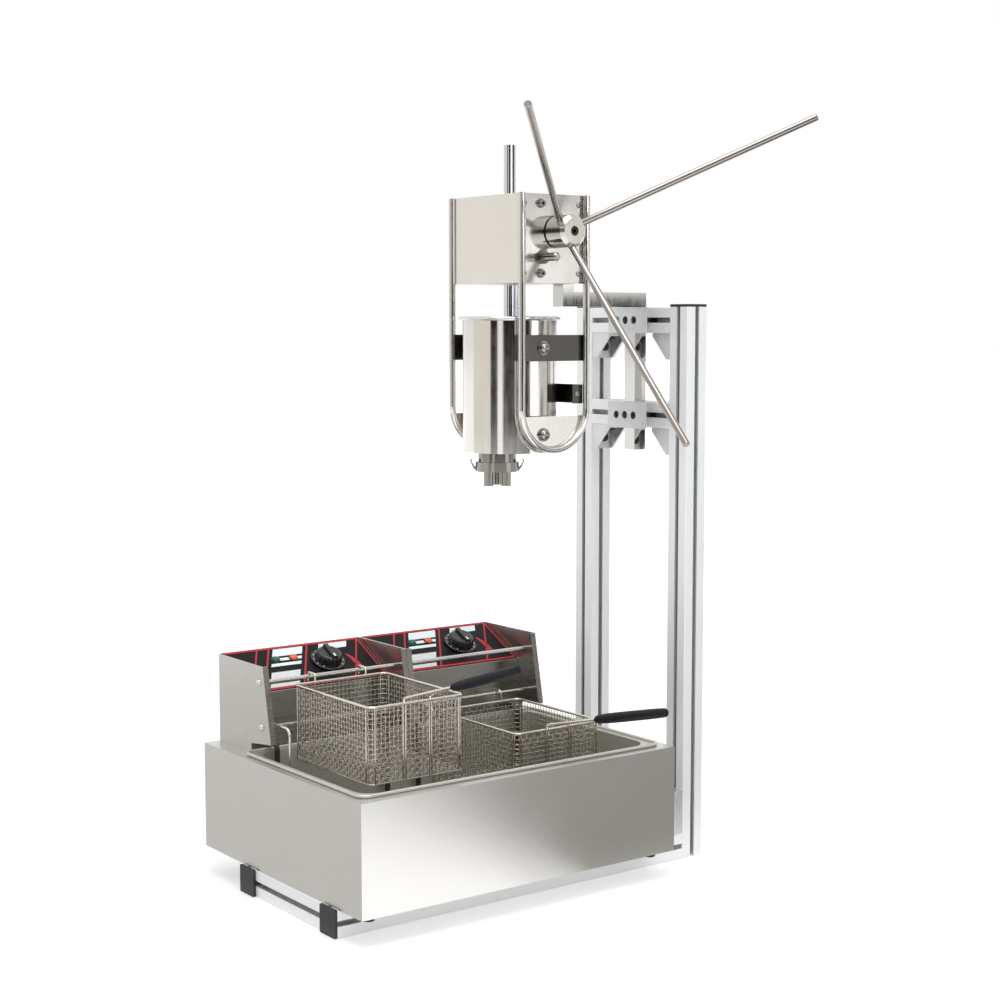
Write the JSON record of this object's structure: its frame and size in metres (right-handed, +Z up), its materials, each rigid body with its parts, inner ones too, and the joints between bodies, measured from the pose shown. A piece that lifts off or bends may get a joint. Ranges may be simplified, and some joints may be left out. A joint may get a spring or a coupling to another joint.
{
  "type": "churro maker",
  "caption": "Crank-operated rack-and-pinion dough press on a slotted aluminium stand over an open counter fryer with wire baskets.",
  "frame": {"origin": "on the floor, midway between the two posts' centre lines, on the rear cross member's underside slot", "axes": "+X to the machine's right (the crank side), +Y to its back, +Z up"},
  "size_m": [0.616, 0.6715, 1.1182],
  "materials": {
    "anodised_aluminium": "silver anodised extrusion",
    "cast_aluminium": "die cast, blasted",
    "black_caps": "moulded",
    "stainless_tube": "ground weld-free tube",
    "bolt_steel": "socket-head bolts",
    "polished_plate": "polished",
    "satin_cover": "satin",
    "screw_steel": "bright",
    "guide_bronze": "machined bronze",
    "frame_steel": "polished round bar",
    "band_steel": "polished strip",
    "cylinder_steel": "turned and polished",
    "nozzle_steel": "turned",
    "chrome_rod": "hard chrome",
    "piston_steel": "turned",
    "seal_rubber": "food-grade rubber",
    "crank_steel": "turned and polished",
    "spoke_steel": "drawn bar",
    "housing_steel": "brushed sheet",
    "foot_rubber": "moulded",
    "pan_steel": "drawn sheet",
    "panel_black": "printed panel",
    "lamp_lens": "coloured lens",
    "knob_black": "moulded",
    "wire_steel": "bright wire",
    "element_steel": "heat-darkened sheath",
    "probe_steel": "bright tube",
    "grip_black": "dipped grip"
  },
  "bodies": {
    "machine": {"post_right": "anodised_aluminium", "post_left": "anodised_aluminium", "rail_right": "anodised_aluminium", "rail_left": "anodised_aluminium", "base_cross_front": "anodised_aluminium", "base_cross_rear": "anodised_aluminium", "upper_beam": "anodised_aluminium", "lower_beam": "anodised_aluminium", "beam_gussets": "cast_aluminium", "rail_gussets": "cast_aluminium", "slot_bolts": "bolt_steel", "profile_caps": "black_caps", "mounting_arm": "stainless_tube", "clamp_plates": "cast_aluminium", "side_plate_right": "polished_plate", "side_plate_left": "polished_plate", "front_cover": "satin_cover", "rear_cover": "satin_cover", "end_plates": "satin_cover", "cover_screws": "screw_steel", "rod_guides": "guide_bronze", "guide_bolts": "screw_steel", "frame_rod_right": "frame_steel", "frame_rod_left": "frame_steel", "upper_bands": "band_steel", "lower_plates": "band_steel", "rear_strip": "band_steel", "cylinder": "cylinder_steel", "cylinder_bolts": "screw_steel", "nozzle_plate": "nozzle_steel", "shaft_bushes": "guide_bronze", "plunger_bush": "bolt_steel", "fryer_housing": "housing_steel", "fryer_feet": "foot_rubber", "oil_pan": "pan_steel", "control_head_left": "housing_steel", "control_head_right": "housing_steel", "control_panels": "panel_black", "indicator_lamps": "lamp_lens", "basket_rods": "wire_steel", "heating_elements": "element_steel", "thermostat_probes": "probe_steel"},
    "rack": {"rack_rod": "chrome_rod", "piston": "piston_steel", "piston_seal": "seal_rubber", "piston_nut": "screw_steel"},
    "crank": {"pinion_shaft": "crank_steel", "crank_hub": "crank_steel", "crank_spokes": "spoke_steel", "hub_screw": "bolt_steel"},
    "plunger": {"lock_plunger": "crank_steel"},
    "outlet_nut": {"wing_nut": "nozzle_steel"},
    "thermostat_left": {"knob_left": "knob_black"},
    "thermostat_right": {"knob_right": "knob_black"},
    "left_basket": {"basket_left": "wire_steel", "basket_frame_left": "wire_steel", "basket_grip_left": "grip_black"},
    "right_basket": {"basket_right": "wire_steel", "basket_frame_right": "wire_steel", "basket_grip_right": "grip_black"}
  },
  "joints": [
    {"name": "crank_spin", "type": "hinge", "parent": "machine", "child": "crank", "pos_m": [0, -0.23, 0.957], "axis": [1, 0, 0], "range_deg": [-573, 178]},
    {"name": "rack_slide", "type": "slide", "parent": "machine", "child": "rack", "axis": [0, 0, 1], "range_m": [-0.047, 0.1505]},
    {"name": "plunger_pull", "type": "slide", "parent": "machine", "child": "plunger", "axis": [1, 0, 0], "range_m": [0, 0.005], "stiffness_N_per_m": 400},
    {"name": "outlet_nut_turn", "type": "hinge", "parent": "machine", "child": "outlet_nut", "pos_m": [0, -0.278, 0.606], "axis": [0, 0, 1], "range_deg": [0, 120]},
    {"name": "thermostat_left_turn", "type": "hinge", "parent": "machine", "child": "thermostat_left", "pos_m": [-0.20358, -0.4525, 0.30705], "axis": [0.4589, 0, 0.8885], "range_deg": [-270, 0]},
    {"name": "thermostat_right_turn", "type": "hinge", "parent": "machine", "child": "thermostat_right", "pos_m": [-0.20358, -0.2035, 0.30705], "axis": [0.4589, 0, 0.8885], "range_deg": [-270, 0]},
    {"name": "left_basket_lift", "type": "slide", "parent": "machine", "child": "left_basket", "axis": [0, 0, 1], "range_m": [0, 0.15]},
    {"name": "right_basket_lift", "type": "slide", "parent": "machine", "child": "right_basket", "axis": [0, 0, 1], "range_m": [0, 0.04]}
  ],
  "couplings": [
    {"joint": "rack_slide", "follows": "crank_spin", "m_per_rad": -0.015}
  ]
}
